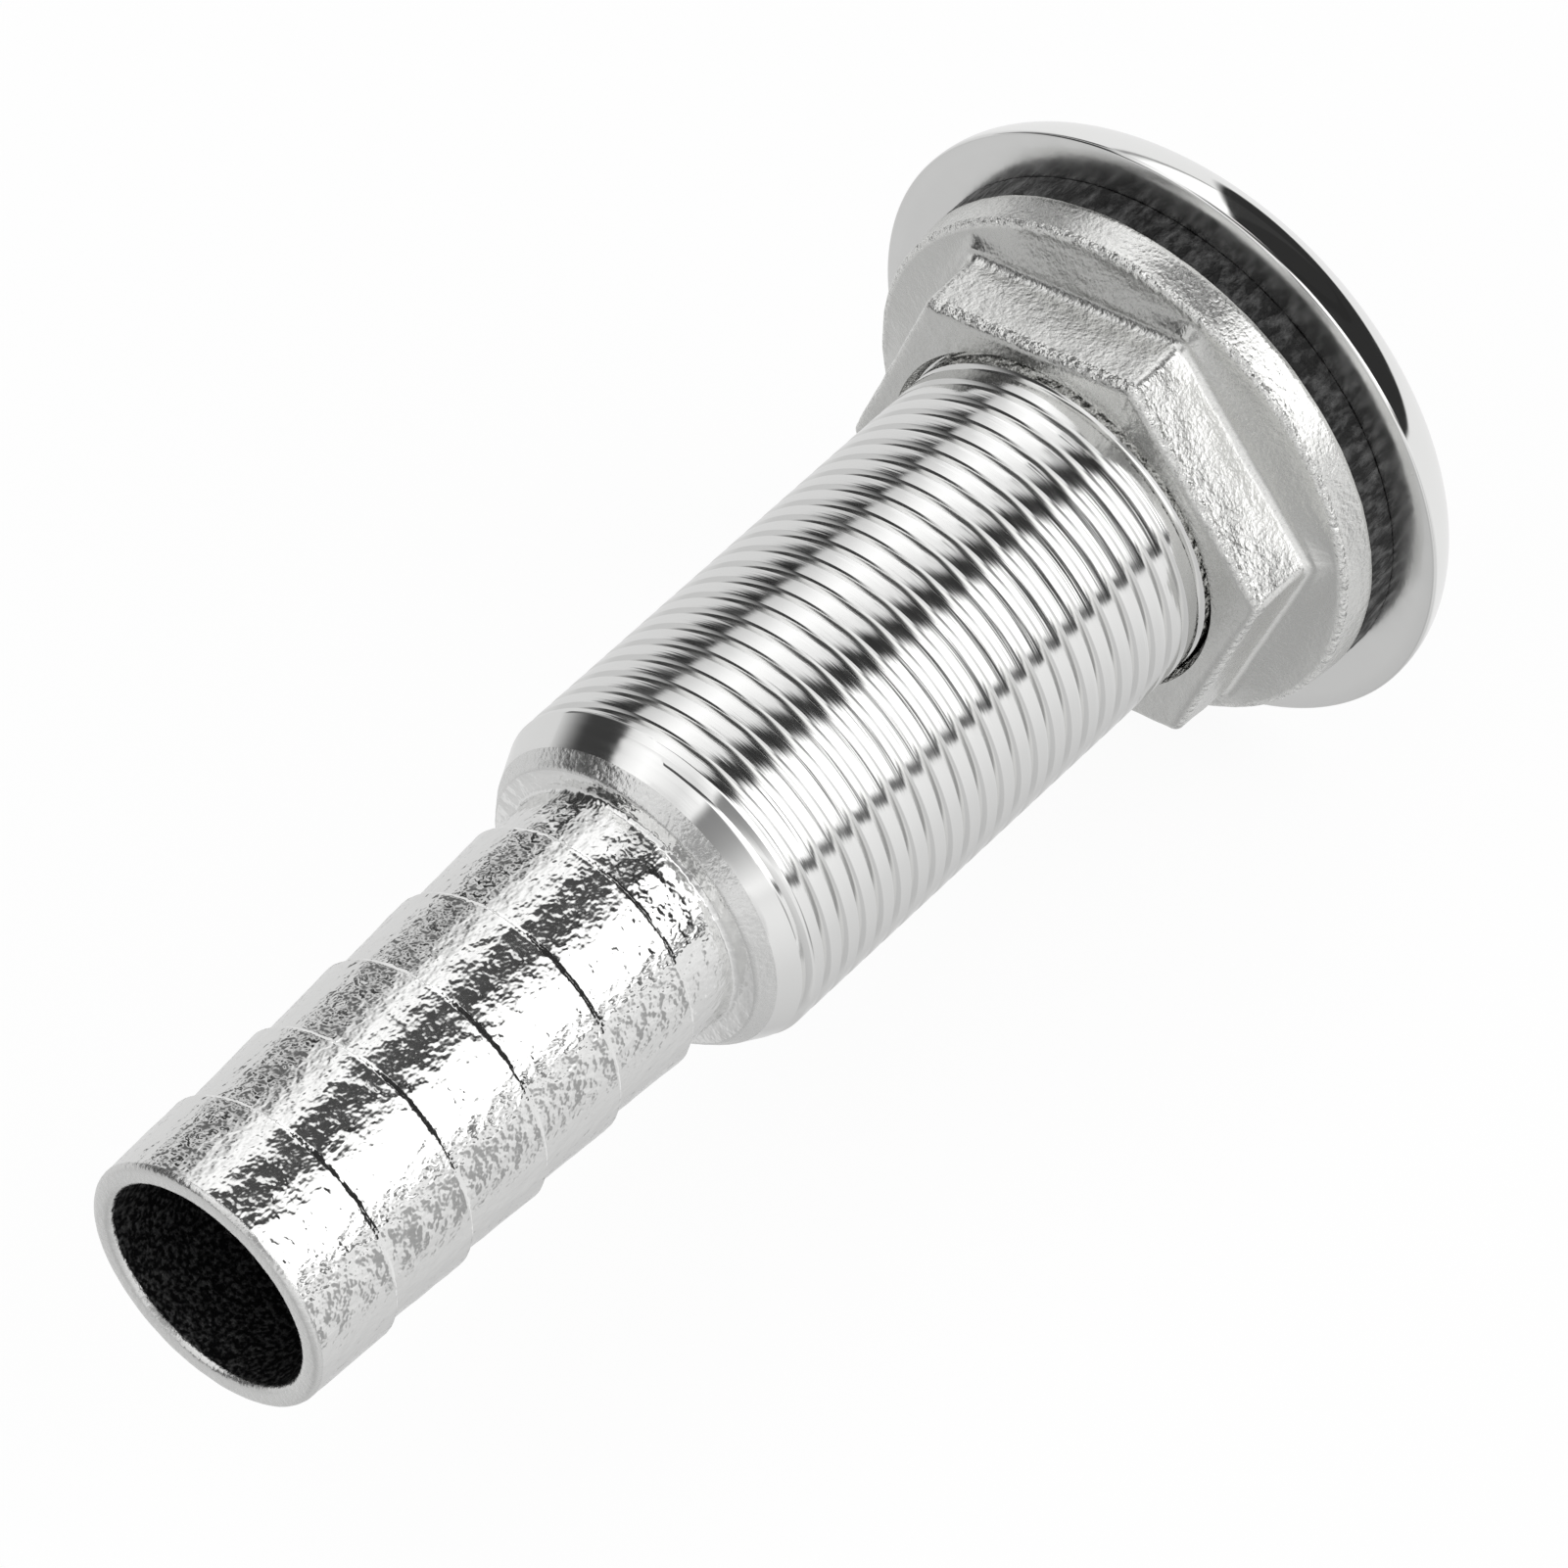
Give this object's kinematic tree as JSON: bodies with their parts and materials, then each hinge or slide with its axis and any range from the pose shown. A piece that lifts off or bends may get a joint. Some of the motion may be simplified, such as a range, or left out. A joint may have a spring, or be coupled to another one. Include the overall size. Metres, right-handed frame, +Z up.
{
  "type": "thru hull fitting",
  "caption": "Stainless through-hull fitting: domed mushroom head, threaded barrel with a rubber gasket and a flanged hexagon nut, and a straight barbed hose tail.",
  "frame": {"origin": "centre of the mushroom head's flat sealing face, on the waterway's axis", "axes": "+Y along the waterway, out of the hull through the domed head, so the hose tail points to -Y; +Z up and +X to the right as seen from inside the hull, with the fitting level in a vertical side of a hull"},
  "size_m": [0.0476, 0.1057, 0.0476],
  "materials": {
    "stainless_casting": "cast 316 stainless steel: polished head and tail, turned thread",
    "gasket_rubber": "matt black sheet rubber, die cut",
    "stainless_nut": "cast 316 stainless steel, bead blasted and tumbled"
  },
  "bodies": {
    "fitting": {"fitting_body": "stainless_casting"},
    "gasket": {"gasket": "gasket_rubber"},
    "nut": {"nut": "stainless_nut"}
  },
  "joints": [
    {"name": "nut_turn", "type": "hinge", "parent": "fitting", "child": "gasket", "pos_m": [0, 0, 0], "axis": [0, -1, 0], "range_deg": [0, 8100]},
    {"name": "nut_travel", "type": "slide", "parent": "gasket", "child": "nut", "axis": [0, -1, 0], "range_m": [0, 0.0409]}
  ],
  "couplings": [
    {"joint": "nut_travel", "follows": "nut_turn", "m_per_rad": 0.00028871}
  ]
}
